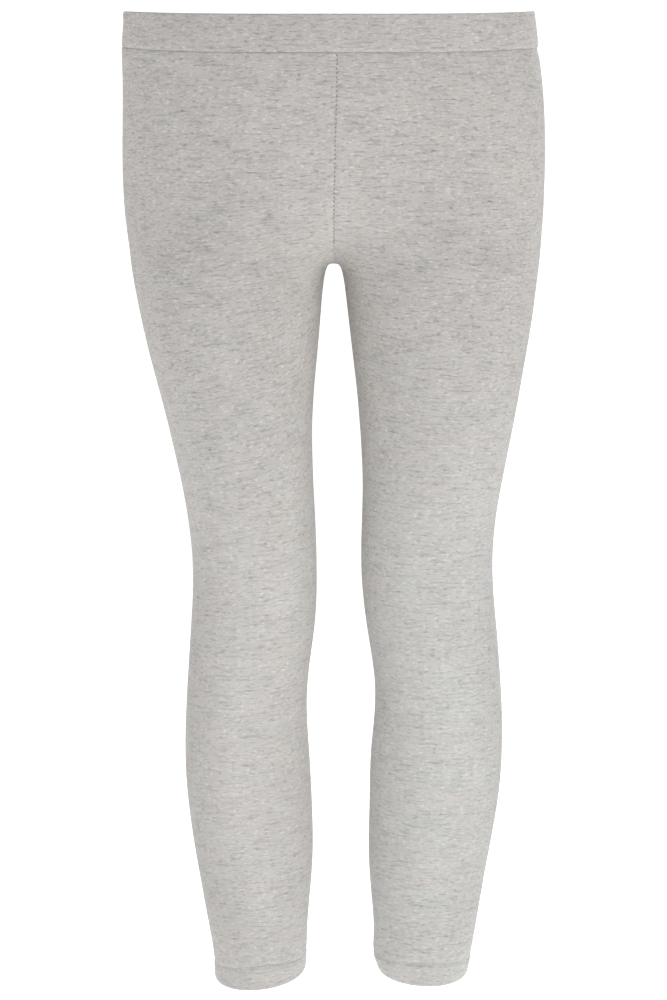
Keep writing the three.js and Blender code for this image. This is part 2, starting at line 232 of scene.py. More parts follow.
LEVELS = 4
N = 2 ** LEVELS
points, faces, where = garment_net()
wanted = points.copy()
for _ in range(FIT_ROUNDS):
    points = points + wanted - resting_points(points, faces)
for _ in range(LEVELS):
    points, faces, where = split_net(points, faces, where)
points = resting_points(points, faces)
turned = np.where(where[:, :1] > 0, faces, faces[:, ::-1])
normals = np.zeros_like(points)
face_normals = np.cross(points[turned[:, 2]] - points[turned[:, 0]], points[turned[:, 3]] - points[turned[:, 1]])
for k in range(4):
    normals += gather(turned[:, k], face_normals, len(points))
normals /= np.linalg.norm(normals, axis=1, keepdims=True)

# Regular grids: the trunk's columns run from the centre front round to the centre back, a leg's from the inseam
# over the front and the outer side to the inseam again.
FORK_ROW = (len(TRUNK) - 1) * N
LAST_ROW = FORK_ROW + len(LEGS) * N
TRUNK_COLUMNS = OUTER_COLUMNS * N
LEG_COLUMNS = RING * N
FRONT_INNER = 2 * N          # leg columns between the inseam and the centre front


def grids(side):
    trunk = np.zeros((FORK_ROW + 1, TRUNK_COLUMNS + 1), int)
    leg = np.zeros((LAST_ROW - FORK_ROW + 1, LEG_COLUMNS + 1), int)
    mine = where[:, 0] == side
    for (row, col), face in zip(where[mine][:, 1:], faces[mine]):
        if row < FORK_ROW:
            trunk[row, col], trunk[row + 1, col], trunk[row + 1, col + 1], trunk[row, col + 1] = face
        else:
            row -= FORK_ROW
            col = (col + FRONT_INNER) % LEG_COLUMNS
            leg[row, col], leg[row + 1, col], leg[row + 1, col + 1], leg[row, col + 1] = face
    return trunk, leg


def take(grid, rows, cols):
    """A grid's values at fractional rows and columns."""
    r = np.clip(np.floor(rows).astype(int), 0, grid.shape[0] - 2)
    c = np.clip(np.floor(cols).astype(int), 0, grid.shape[1] - 2)
    fr = (np.asarray(rows) - r)[:, None, None]
    fc = (np.asarray(cols) - c)[None, :, None]
    top = grid[r][:, c] * (1 - fc) + grid[r][:, c + 1] * fc
    low = grid[r + 1][:, c] * (1 - fc) + grid[r + 1][:, c + 1] * fc
    return top * (1 - fr) + low * fr


def around_lengths(p, middle):
    """Signed length along each row from the outer side line, positive towards the front."""
    run = np.concatenate([np.zeros((p.shape[0], 1)), np.cumsum(np.linalg.norm(np.diff(p, axis=1), axis=2), 1)], 1)
    return -(run - run[:, middle:middle + 1])


class Side:
    def __init__(self, side):
        self.side = side
        trunk, leg = grids(side)
        self.tp, self.tn = points[trunk], normals[trunk]
        self.lp, self.ln = points[leg], normals[leg]
        for p, n in ((self.tp[:, 0], self.tn[:, 0]), (self.tp[:, -1], self.tn[:, -1]),
                     (self.lp[0, :FRONT_INNER + 1], self.ln[0, :FRONT_INNER + 1]),
                     (self.lp[0, FRONT_INNER + TRUNK_COLUMNS:], self.ln[0, FRONT_INNER + TRUNK_COLUMNS:])):
            p[:, 0] = p[:, 0]
            n[:, 0] = 0
            n /= np.linalg.norm(n, axis=1, keepdims=True)
        self.seam = np.vstack([self.tp[:, 0], self.lp[0, FRONT_INNER - 1::-1][:FRONT_INNER],
                               self.lp[0, FRONT_INNER + TRUNK_COLUMNS:][1:-1][::-1], self.tp[::-1, -1]])
        self.seam_normals = np.vstack([self.tn[:, 0], self.ln[0, FRONT_INNER - 1::-1][:FRONT_INNER],
                                       self.ln[0, FRONT_INNER + TRUNK_COLUMNS:][1:-1][::-1], self.tn[::-1, -1]])
        self.ts = around_lengths(self.tp, TRUNK_COLUMNS // 2)
        self.ls = around_lengths(self.lp, FRONT_INNER + TRUNK_COLUMNS // 2)
        side_line = np.vstack([self.tp[:, TRUNK_COLUMNS // 2], self.lp[1:, FRONT_INNER + TRUNK_COLUMNS // 2]])
        self.side_z = side_line[:, 2]
        to_hem = np.linalg.norm(np.diff(self.lp, axis=0), axis=2)
        self.lh = np.concatenate([np.cumsum(to_hem[::-1], 0)[::-1], np.zeros((1, to_hem.shape[1]))], 0)

    def at(self, column, z):
        """Length round and height of a point given by its column (0 front, 5 outer side, 10 back, 12 or -2 inseam) and height."""
        row = np.interp(-z, -self.side_z, np.arange(len(self.side_z)))
        if row < FORK_ROW:
            s = take(self.ts[:, :, None], np.array([row]), np.array([column * N]))[0, 0, 0]
        else:
            s = take(self.ls[:, :, None], np.array([row - FORK_ROW]), np.array([(column + 2) * N]))[0, 0, 0]
        return np.array((s, z))


# ---- creases ---------------------------------------------------------------------------------------
# Each: points (column, height), half-width in mm, depth in mm (negative is a ridge). Columns over 6.5 are at the back,
# where nothing pulls the jersey flat and the troughs are deeper.
BACK_DEEPER = 3.6
BACK_WIDER = 1.2
CREASES = {
    -1: [
        # front of the hips and crotch
        (((1.9, -150), (1.0, -166), (0.2, -180)), 6.0, 0.55),
        (((3.1, -146), (1.8, -170), (0.4, -190), (-0.6, -201)), 8.0, 0.60),
        (((2.6, -196), (1.0, -208), (-0.8, -214)), 7.0, 0.45),
        (((4.4, -60), (3.4, -72), (2.2, -78)), 11.0, 0.35),
        (((4.6, -26), (3.2, -31), (1.6, -30)), 5.0, 0.25),
        # front of the knee
        (((3.2, -452), (1.8, -460), (0.3, -456)), 8.0, 0.40),
        (((2.6, -478), (1.2, -484), (-0.6, -474), (-1.6, -462)), 7.0, 0.50),
        (((3.9, -500), (2.9, -506), (1.7, -503)), 6.0, 0.30),
        (((0.8, -430), (-0.6, -440), (-1.8, -454)), 7.0, 0.55),
        # shin and ankle
        (((0.9, -722), (-0.2, -738), (-1.3, -746)), 6.0, 0.55),
        (((1.6, -752), (0.3, -764), (-1.0, -768)), 5.5, 0.50),
        (((3.8, -768), (2.6, -775), (1.4, -773)), 5.0, 0.35),
        (((4.6, -700), (3.8, -712), (2.9, -716)), 6.5, 0.30),
        # back of the knee
        (((10.9, -446), (9.4, -455), (8.0, -452)), 5.5, 1.20),
        (((11.3, -462), (9.9, -470), (8.4, -471), (7.3, -464)), 6.0, 1.45),
        (((10.6, -483), (9.0, -489), (7.6, -484)), 5.5, 1.15),
        (((9.8, -502), (8.6, -505), (7.9, -500)), 5.0, 0.75),
        (((10.3, -430), (9.2, -435), (8.3, -431)), 6.0, 0.65),
        # under the seat and back of the thigh
        (((11.2, -212), (9.8, -222), (8.2, -224), (7.0, -217)), 9.0, 1.30),
        (((10.8, -238), (9.4, -246), (8.3, -244)), 8.0, 0.70),
        (((8.8, -120), (9.4, -142), (9.9, -160)), 7.0, 0.60),
        (((7.6, -44), (8.6, -52), (9.6, -50)), 8.0, 0.50),
        (((7.2, -70), (8.2, -78), (9.0, -77)), 9.0, 0.35),
        # back of the ankle
        (((9.9, -742), (8.7, -750), (7.6, -748)), 5.5, 0.80),
        (((9.3, -762), (8.2, -768), (7.0, -764)), 5.0, 0.65),
        (((10.8, -776), (9.7, -779), (8.9, -776)), 4.5, 0.50),
    ],
    1: [
        (((2.2, -144), (1.1, -162), (0.2, -177)), 6.5, 0.50),
        (((3.4, -156), (2.0, -176), (0.5, -193), (-0.7, -203)), 8.5, 0.60),
        (((3.0, -204), (1.4, -214), (-0.4, -217)), 7.0, 0.40),
        (((4.2, -48), (3.1, -58), (2.0, -60)), 10.0, 0.30),
        (((4.7, -30), (3.6, -34), (2.4, -32)), 5.0, 0.25),
        (((3.4, -446), (2.0, -455), (0.6, -452)), 8.0, 0.35),
        (((2.4, -470), (1.0, -478), (-0.5, -470), (-1.5, -457)), 7.5, 0.50),
        (((4.1, -492), (3.0, -499), (1.9, -497)), 6.5, 0.30),
        (((0.6, -504), (-0.7, -512), (-1.7, -508)), 7.0, 0.40),
        (((0.7, -716), (-0.4, -728), (-1.5, -734)), 6.0, 0.45),
        (((1.9, -746), (0.5, -757), (-0.9, -757)), 5.5, 0.45),
        (((3.6, -764), (2.5, -770), (1.5, -768)), 5.0, 0.35),
        (((4.4, -690), (3.4, -703), (2.5, -706)), 6.0, 0.30),
        (((11.0, -440), (9.7, -450), (8.3, -449)), 5.5, 1.10),
        (((11.2, -458), (9.7, -466), (8.2, -465), (7.1, -457)), 6.0, 1.50),
        (((10.8, -478), (9.4, -485), (7.9, -482)), 5.5, 1.25),
        (((9.6, -498), (8.5, -502), (7.6, -498)), 5.0, 0.70),
        (((10.1, -424), (9.0, -430), (8.1, -427)), 6.0, 0.60),
        (((11.1, -209), (9.6, -219), (8.0, -220), (6.8, -212)), 9.0, 1.20),
        (((10.9, -234), (9.6, -242), (8.5, -241)), 8.0, 0.75),
        (((8.7, -116), (9.3, -138), (9.9, -157)), 7.0, 0.55),
        (((7.4, -40), (8.3, -47), (9.3, -46)), 8.0, 0.45),
        (((9.8, -738), (8.6, -745), (7.4, -742)), 5.5, 0.75),
        (((9.5, -757), (8.3, -764), (7.1, -762)), 5.0, 0.70),
        (((10.7, -772), (9.6, -776), (8.7, -773)), 4.5, 0.45),
    ],
}


def crease_field(body, s, z):
    out = np.zeros(s.shape)
    for line, width, depth in CREASES[body.side]:
        if line[0][0] > 6.5:
            width, depth = width * BACK_WIDER, depth * BACK_DEEPER
        knots = np.array([body.at(c, h) for c, h in line])
        t = np.linspace(0, len(knots) - 1, 9 * (len(knots) - 1) + 1)
        path = np.stack([np.interp(t, np.arange(len(knots)), knots[:, k]) for k in (0, 1)], 1)
        for _ in range(6):
            path[1:-1] = path[1:-1] * 0.5 + (path[:-2] + path[2:]) * 0.25
        run = np.concatenate([[0], np.cumsum(np.linalg.norm(np.diff(path, axis=0), axis=1))])
        reach = 3.2 * width
        lo, hi = path.min(0) - reach, path.max(0) + reach
        near = (s > lo[0]) & (s < hi[0]) & (z > lo[1]) & (z < hi[1])
        if not near.any():
            continue
        q = np.stack([s[near], z[near]], 1)
        best = np.full(len(q), 1e9)
        share = np.zeros(len(q))
        for a, b, ra, rb in zip(path[:-1], path[1:], run[:-1], run[1:]):
            ab = b - a
            k = np.clip(((q - a) @ ab) / (ab @ ab), 0, 1)
            d = np.linalg.norm(q - a - k[:, None] * ab, axis=1)
            closer = d < best
            best = np.where(closer, d, best)
            share = np.where(closer, (ra + (rb - ra) * k) / run[-1], share)
        x = best / width
        taper = np.sin(np.pi * np.clip(share, 0.02, 0.98)) ** 0.8
        out[near] -= depth * taper * (1 - 0.9 * x ** 2) * np.exp(-x ** 2)
    return out


def waviness(s, z, seed):
    """Slow unevenness of a knit that nothing holds flat."""
    rng = np.random.default_rng(seed)
    out = np.zeros(s.shape)
    for _ in range(9):
        wave = rng.uniform(38, 110)
        turn = rng.uniform(0, 2 * math.pi)
        out += rng.uniform(0.4, 1) * np.sin((s * math.cos(turn) * 0.8 + z * math.sin(turn)) * 2 * math.pi / wave + rng.uniform(0, 6.3))
    return out / 9


def seam_distance(body, p, reach=14.0):
    """Distance of each point from the centre seam, and its place along it."""
    line = body.seam
    run = np.concatenate([[0], np.cumsum(np.linalg.norm(np.diff(line, axis=0), axis=1))])
    flat = p.reshape(-1, 3)
    best = np.full(len(flat), 99.0)
    along = np.zeros(len(flat))
    near = np.flatnonzero((np.abs(flat[:, 0] - 4.5) < reach + 6) & (flat[:, 2] > -225))
    q = flat[near]
    for start in range(0, len(line) - 1, 8):
        piece = line[start:start + 9]
        lo, hi = piece.min(0) - reach, piece.max(0) + reach
        inside = ((q > lo) & (q < hi)).all(1)
        if not inside.any():
            continue
        w = q[inside]
        ids = near[inside]
        for k in range(len(piece) - 1):
            a, ab = piece[k], piece[k + 1] - piece[k]
            f = np.clip(((w - a) @ ab) / (ab @ ab), 0, 1)
            d = np.linalg.norm(w - a - f[:, None] * ab, axis=1)
            closer = d < best[ids]
            best[ids] = np.where(closer, d, best[ids])
            along[ids] = np.where(closer, run[start + k] + f * np.linalg.norm(ab), along[ids])
    return best.reshape(p.shape[:-1]), along.reshape(p.shape[:-1])


# Slope of the knit's courses: on a tapering leg they rise from the outer side towards the inseam.
COURSE_Z = (-830, -780, -700, -620, -550, -470, -400, -330, -240, -180, -120, -50, 15)
COURSE_BEND = (1.4, 1.4, 1.1, 0.8, 0.6, 0.8, 1.1, 1.4, 1.5, 0.8, 0.3, 0.1, 0.0)
SIDE_BEND = {-1: 0.9, 1: 0.4}


def grain(s, z, side):
    """Flat coordinates of the knit in metres: round the leg and along it."""
    k = np.interp(z, COURSE_Z, COURSE_BEND) * SIDE_BEND[side]
    s, z = s * MM, z * MM
    return np.stack([s, z - k * s ** 2 / 2], -1)


HEM_SIDE_DEPTH = 13.0


def hem_line(body, s):
    """Depth of the turned-up hem round the leg: less at the sides than in front and at the back."""
    whole = np.ptp(body.ls[-1])
    return HEM_SIDE_DEPTH + (HEM_DEPTH - HEM_SIDE_DEPTH) * np.sin(2 * np.pi * s / whole) ** 2


CLOTH = 1.0
HEM_CLOTH = 2.1


class Layer:
    """One face of a panel on chosen rows and columns, moved out or in along its normals."""

    def __init__(self, body, trunk_rows, leg_rows, trunk_cols, leg_cols, inner):
        self.body, self.inner = body, inner
        self.trunk_rows, self.leg_rows = trunk_rows, leg_rows
        self.trunk_cols, self.leg_cols = trunk_cols, leg_cols
        self.trunk = self.make(body.tp, body.tn, body.ts, None, trunk_rows, trunk_cols)
        self.leg = self.make(body.lp, body.ln, body.ls, body.lh, leg_rows, leg_cols)

    def make(self, p, n, s, h, rows, cols):
        body = self.body
        base = take(p, rows, cols)
        normal = take(n, rows, cols)
        normal /= np.linalg.norm(normal, axis=2, keepdims=True)
        s = take(s[:, :, None], rows, cols)[..., 0]
        z = base[..., 2]
        hem = take(h[:, :, None], rows, cols)[..., 0] if h is not None else np.full(z.shape, 999.0)
        d, along = seam_distance(body, base)
        top = np.full(z.shape, 99.0)
        if h is None:
            first = base[0]
            top = np.concatenate([np.zeros((1, len(cols))), np.cumsum(np.linalg.norm(np.diff(base, axis=0), axis=2), 0)], 0)
        whole = np.ptp(body.ls[-1])
        inseam = np.full(z.shape, 99.0)
        if h is not None:
            inseam = np.minimum(s.max(1, keepdims=True) - s, s - s.min(1, keepdims=True))
        out = crease_field(body, s, z) + 0.28 * waviness(s, z, 11 + body.side)
        calm = np.clip(d / 10, 0, 1) * np.clip(top / 10, 0, 1) * np.clip(hem / 14, 0, 1)
        out = out * (0.15 + 0.85 * calm)
        fold = hem_line(body, s)
        if not self.inner:
            # seams: the cloth turns in
            shallow = np.interp(z, (-192, -174), (0.35, 1.0))
            out += np.interp(d, (0, 0.3, 0.8, 1.6, 2.6, 4.2, 7.5, 8.5), (-0.55, -0.42, -0.26, -0.08, 0.05, 0.14, 0.12, 0.0)) * shallow
            out += np.interp(inseam, (0, 0.3, 0.8, 1.6, 2.6, 5.0, 6.5), (-0.60, -0.40, -0.22, -0.06, 0.06, 0.10, 0.0))
            out += np.interp(top, (0, 0.25, 0.6, 1.2, 2.2, 6.0, 8.0), (-0.27, -0.19, -0.11, -0.04, 0.02, 0.05, 0.0))
            # turned-up hem: a little prouder than the leg, held in along its stitches
            x = hem - fold
            out += np.interp(x, (-30, -3.0, -1.6, 0.0, 1.5, 3.6), (0.46, 0.44, 0.06, -0.58, -0.20, 0.0)) * np.interp(inseam, (0, 3.5), (0.2, 1.0))
        else:
            wall = np.interp(hem - fold, (-0.2, 0.4), (HEM_CLOTH, CLOTH))
            wall = wall + np.interp(d, (0, 1.0, 5.5, 6.3), (0.95, 1.0, 0.9, 0.0))
            wall = wall + np.interp(inseam, (0, 1.0, 5.0, 5.8), (0.7, 0.8, 0.7, 0.0)) * np.clip((hem - 3) / 3, 0, 1)
            wall = wall + np.interp(top, (0, 1.0, 5.5, 6.3), (0.95, 1.0, 0.9, 0.0))
            out = out + np.interp(hem - fold, (-2, 1), (0.4, 0.0)) - wall
        if h is None and body.side > 0:
            # the band stands a little proud of the panel at the garment's left side
            out = out - 1.1 * np.clip((base[..., 0] - 150) / 25, 0, 1) * np.exp(-(top / 7) ** 2)
        if h is not None and body.side > 0:
            # this hem flares a little towards the other leg
            out = out + 2.3 * np.clip((-normal[..., 0] - 0.3) / 0.5, 0, 1) * np.exp(-((hem - 11) / 14) ** 2)
        place = base + normal * out[..., None]
        gap = np.zeros(z.shape, bool)
        if h is None:
            gap[:, 0] = gap[:, -1] = True
        else:
            gap[0] = (cols <= FRONT_INNER) | (cols >= FRONT_INNER + TRUNK_COLUMNS)
        place[..., 0] += np.where(gap, body.side * SEAM_GAP / 2, 0)
        if h is None:
            # the top edge stays under the band
            place[0, :, 2] = np.minimum(place[0, :, 2], base[0, :, 2])
        return dict(base=base, place=place, normal=normal, uv=grain(s, z, body.side), s=s, hem=hem, d=d, along=along)


class Sheet:
    """Collects faces with their grain coordinates into one mesh."""

    def __init__(self):
        self.points, self.count, self.quads, self.quad_uv, self.tris, self.tri_uv = [], 0, [], [], [], []

    def add(self, p):
        p = np.asarray(p, float).reshape(-1, 3)
        self.points.append(p)
        self.count += len(p)
        return np.arange(self.count - len(p), self.count)

    def grid(self, ids, uv, flip):
        a = np.stack([ids[:-1, :-1], ids[1:, :-1], ids[1:, 1:], ids[:-1, 1:]], -1).reshape(-1, 4)
        b = np.stack([uv[:-1, :-1], uv[1:, :-1], uv[1:, 1:], uv[:-1, 1:]], -2).reshape(-1, 4, 2)
        if flip:
            a, b = a[:, ::-1], b[:, ::-1]
        self.quads.append(a)
        self.quad_uv.append(b)

    def stitch(self, a, ta, uva, b, tb, uvb, flip):
        """Triangles between two chains that run side by side, both sorted by ta and tb."""
        i = j = 0
        tri, uv = [], []
        while i < len(a) - 1 or j < len(b) - 1:
            if j == len(b) - 1 or (i < len(a) - 1 and ta[i + 1] <= tb[j + 1]):
                tri.append((a[i], a[i + 1], b[j]))
                uv.append((uva[i], uva[i + 1], uvb[j]))
                i += 1
            else:
                tri.append((a[i], b[j + 1], b[j]))
                uv.append((uva[i], uvb[j + 1], uvb[j]))
                j += 1
        tri, uv = np.array(tri), np.array(uv)
        keep = (tri[:, 0] != tri[:, 1]) & (tri[:, 1] != tri[:, 2]) & (tri[:, 0] != tri[:, 2])
        tri, uv = tri[keep], uv[keep]
        if flip:
            tri, uv = tri[:, ::-1], uv[:, ::-1]
        self.tris.append(tri)
        self.tri_uv.append(uv)

    def build(self, name, material):
        verts = np.vstack(self.points) * MM
        parts = [(q, u) for q, u in ((np.vstack(self.quads) if self.quads else np.zeros((0, 4), int),
                                      np.vstack(self.quad_uv) if self.quad_uv else np.zeros((0, 4, 2))),
                                     (np.vstack(self.tris) if self.tris else np.zeros((0, 3), int),
                                      np.vstack(self.tri_uv) if self.tri_uv else np.zeros((0, 3, 2)))) if len(q)]
        corners = np.concatenate([q.ravel() for q, _ in parts])
        coords = np.concatenate([u.reshape(-1, 2) for _, u in parts])
        sizes = np.concatenate([np.full(len(q), q.shape[1]) for q, _ in parts])
        mesh = bpy.data.meshes.new(name)
        mesh.vertices.add(len(verts))
        mesh.vertices.foreach_set("co", verts.ravel())
        mesh.loops.add(len(corners))
        mesh.loops.foreach_set("vertex_index", corners.astype(np.int32))
        mesh.polygons.add(len(sizes))
        mesh.polygons.foreach_set("loop_start", (np.cumsum(sizes) - sizes).astype(np.int32))
        mesh.update(calc_edges=True)
        layer = mesh.uv_layers.new(name="grain")
        layer.data.foreach_set("uv", coords.ravel().astype(np.float32))
        mesh.polygons.foreach_set("use_smooth", np.ones(len(sizes), bool))
        mesh.validate()
        mesh.update()
        mesh.materials.append(material)
        obj = bpy.data.objects.new(name, mesh)
        bpy.context.scene.collection.objects.link(obj)
        return obj


def spread(last, step, near_start=(), near_end=()):
    marks = set(float(x) for x in range(0, last + 1, step)) | {float(last)}
    marks |= set(float(x) for x in near_start) | set(last - float(x) for x in near_end)
    return np.array(sorted(marks))


def with_marks(marks, extra):
    return np.array(sorted(set(marks.tolist()) | set(float(x) for x in extra)))


def panel(side, name, material):
    body = Side(side)
    sheet = Sheet()
    seam_marks = (0.08, 0.2, 0.4, 0.65)
    layers = []
    for step, inner in ((1, False), (2, True)):
        tr = spread(FORK_ROW, step, (0.1, 0.25, 0.5, 0.8) if not inner else (0.5, 3.0), ())
        tc = spread(TRUNK_COLUMNS, step, seam_marks if not inner else (0.25, 1.5), seam_marks if not inner else (0.25, 1.5))
        middle = (tc + FRONT_INNER)
        ends = spread(LEG_COLUMNS, step, (0.15, 0.4, 0.8) if not inner else (0.5, 2.6, 3.0), (0.15, 0.4, 0.8) if not inner else (0.5, 2.6, 3.0))
        outside = ends[(ends <= FRONT_INNER) | (ends >= FRONT_INNER + TRUNK_COLUMNS)]
        lc = with_marks(middle, outside)
        lr = spread(LAST_ROW - FORK_ROW, step, (0.4,) if not inner else (), [k + 0.5 for k in range(9, 17)] if not inner else ())
        if inner:
            # as many rows as outside where the creases are deep and at the hem, so that the two faces keep apart
            z = body.lp[:, FRONT_INNER + TRUNK_COLUMNS // 2, 2]
            lr = with_marks(lr, np.flatnonzero(((z < -202) & (z > -262)) | ((z < -415) & (z > -520)) | (z < -726)))
            lr = with_marks(lr, (LAST_ROW - FORK_ROW - 16.4, LAST_ROW - FORK_ROW - 15.0, LAST_ROW - FORK_ROW - 13.0, LAST_ROW - FORK_ROW - 11.0, LAST_ROW - FORK_ROW - 9.0))
        layers.append(Layer(body, tr, lr, tc, lc, inner))
    built = []
    for layer in layers:
        flip = (side < 0) != layer.inner
        leg_ids = sheet.add(layer.leg["place"][:, :-1]).reshape(len(layer.leg_rows), len(layer.leg_cols) - 1)
        leg_ids = np.concatenate([leg_ids, leg_ids[:, :1]], 1)
        trunk_ids = sheet.add(layer.trunk["place"][:-1]).reshape(len(layer.trunk_rows) - 1, len(layer.trunk_cols))
        over = (layer.leg_cols >= FRONT_INNER) & (layer.leg_cols <= FRONT_INNER + TRUNK_COLUMNS)
        trunk_ids = np.concatenate([trunk_ids, leg_ids[:1, over]], 0)
        sheet.grid(leg_ids, layer.leg["uv"], flip)
        sheet.grid(trunk_ids, layer.trunk["uv"], flip)
        front = layer.leg_cols <= FRONT_INNER
        back = layer.leg_cols >= FRONT_INNER + TRUNK_COLUMNS
        built.append(dict(
            top=(trunk_ids[0], layer.trunk_cols, layer.trunk["uv"][0]),
            back=(trunk_ids[:, -1], layer.trunk_rows, layer.trunk["uv"][:, -1]),
            crotch_back=(leg_ids[0, back], layer.leg_cols[back], layer.leg["uv"][0, back]),
            crotch_front=(leg_ids[0, front], layer.leg_cols[front], layer.leg["uv"][0, front]),
            front=(trunk_ids[:, 0], layer.trunk_rows, layer.trunk["uv"][:, 0]),
            hem=(leg_ids[-1], layer.leg_cols, layer.leg["uv"][-1])))
    out, inn = built
    for key, turn in (("top", True), ("back", True), ("crotch_back", True), ("crotch_front", True), ("front", False)):
        sheet.stitch(*out[key], *inn[key], turn != (side < 0))
    # rounded fold of the hem
    leg = layers[0].leg
    down = leg["place"][-1] - leg["place"][-2]
    down /= np.linalg.norm(down, axis=1, keepdims=True)
    normal = leg["normal"][-1]
    rad = HEM_CLOTH / 2
    ids, uv = out["hem"][0], out["hem"][2]
    rows_ids, rows_uv = [ids], [uv]
    for k in range(1, 8):
        a = math.pi * k / 7
        ring = leg["place"][-1] - normal * rad * (1 - math.cos(a)) + down * rad * math.sin(a)
        new = sheet.add(ring[:-1])
        rows_ids.append(np.append(new, new[0]))
        rows_uv.append(uv - np.array((0, a * rad * MM)))
    sheet.grid(np.array(rows_ids), np.array(rows_uv), side < 0)
    sheet.stitch(rows_ids[-1], out["hem"][1], rows_uv[-1], inn["hem"][0], inn["hem"][1], inn["hem"][2] - np.array((0, 0.004)), side < 0)
    return body, sheet.build(name, material), layers[0]


# ---- waistband -------------------------------------------------------------------------------------
def waistband(left, right, name, material):
    """left is the +X side, right the -X side: the ring runs from the centre front over -X to the back and on over +X."""
    base = np.vstack([right.tp[0], left.tp[0, ::-1][1:-1]])
    normal = np.vstack([right.tn[0], left.tn[0, ::-1][1:-1]])
    # finer ring
    n0 = len(base)
    t = np.arange(0, n0, 0.5)
    i = t.astype(int)
    f = (t - i)[:, None]
    base = base[i] * (1 - f) + base[(i + 1) % n0] * f
    normal = normal[i] * (1 - f) + normal[(i + 1) % n0] * f
    normal[:, 2] = 0
    normal /= np.linalg.norm(normal, axis=1, keepdims=True)
    n = len(base)
    step = np.linalg.norm(np.roll(base, -1, 0) - base, axis=1)
    run = np.concatenate([[0], np.cumsum(step)])
    sideways = np.clip((base[:, 2] + 16.0) / SIDE_RISE, 0, 1)
    low = base[:, 2] + SEAM_GAP
    high = BAND_TOP + TOP_RISE * sideways
    share = np.array([b[0] for b in BAND])
    outs = np.array([b[1] for b in BAND])
    inns = np.array([b[2] for b in BAND])
    rise = np.array([0, .008, .02, .04, .07, .11, .16, .22, .29, .36, .43, .5, .57, .64, .71, .78, .84, .89, .93, .96])
    # places round the ring for the join of the band and a slight nub at the upper corner
    front = base[:, 1] < 0
    join = np.where(front, np.abs(base[:, 0] + 0.8), 99.0)
    nub = 0.9 * np.clip((-base[:, 0] - 160) / 12, 0, 1)
    pull = -0.9 * np.clip((base[:, 0] - 160) / 14, 0, 1)
    rows, uv = [], []
    height = (high - low)

    def ring(offset, z, v):
        rows.append(np.stack([base[:, 0] + normal[:, 0] * offset, base[:, 1] + normal[:, 1] * offset, z], 1))
        uv.append(np.stack([run * MM, np.append(v, v[0]) * MM], 1))

    ripple = waviness(run[:-1], np.zeros(n), 41) * 0.25
    smooth_out = np.interp(rise, share, outs)
    smooth_out = np.convolve(np.pad(smooth_out, 2, "edge"), (0.1, 0.2, 0.4, 0.2, 0.1), "valid")
    top_out = float(np.interp(0.97, share, outs))
    for r, o in zip(rise, smooth_out):
        above = r * height
        edge = np.interp(above, (0, 0.25, 0.6, 1.2, 2.2, 5.0), (-0.27, -0.19, -0.10, -0.02, 0.04, 0.0))
        seam = -0.28 * np.exp(-(join / 0.9) ** 2) * np.interp(above, (0, 4, 26, 31), (0.0, 0.3, 1, 0.5))
        corner = nub * np.exp(-((height - above - 3.0) / 3.5) ** 2) + pull * r ** 1.5
        ring(o + edge + seam + corner + ripple * (0.4 + 0.6 * r), low + above, above)
    # rounded top edge
    thick_top = 2.5
    rad = thick_top / 2
    centre = smooth_out[-1] - rad
    for k in range(1, 9):
        a = math.pi * k / 8
        ring(centre + rad * math.cos(a) + ripple + 0.5 * nub + pull, high - rad * 0.9 + rad * 0.9 * math.sin(a), height + a * rad)
    inner_rise = np.array([.93, .86, .78, .68, .57, .46, .36, .27, .19, .12, .06, .02, 0.0])
    for r in inner_rise:
        above = r * height
        o = np.interp(r, share, inns) - 0.2
        hold = np.interp(above, (0, 0.8, 3.0), (0.4, 0.1, 0.0))
        ring(o + hold + ripple * (0.4 + 0.6 * r), low + above, 2 * height + rad * 3 - above)
    sheet = Sheet()
    ids = []
    for r in rows:
        new = sheet.add(r)
        ids.append(np.append(new, new[0]))
    ids.append(ids[0])
    uv.append(uv[-1] - np.array((0, -0.003)))
    sheet.grid(np.array(ids), np.array(uv), False)
    obj = sheet.build(name, material)
    return obj


# ---- stitches --------------------------------------------------------------------------------------
# One stitch: share of its length, share of its thickness, and how far it sinks into the cloth.
STITCH_RINGS = ((-0.50, 0.15, 1.30), (-0.36, 0.80, 0.45), (-0.12, 1.00, 0.05), (0.12, 1.00, 0.05), (0.36, 0.80, 0.45), (0.50, 0.15, 1.30))
STITCH_SIDES = 6


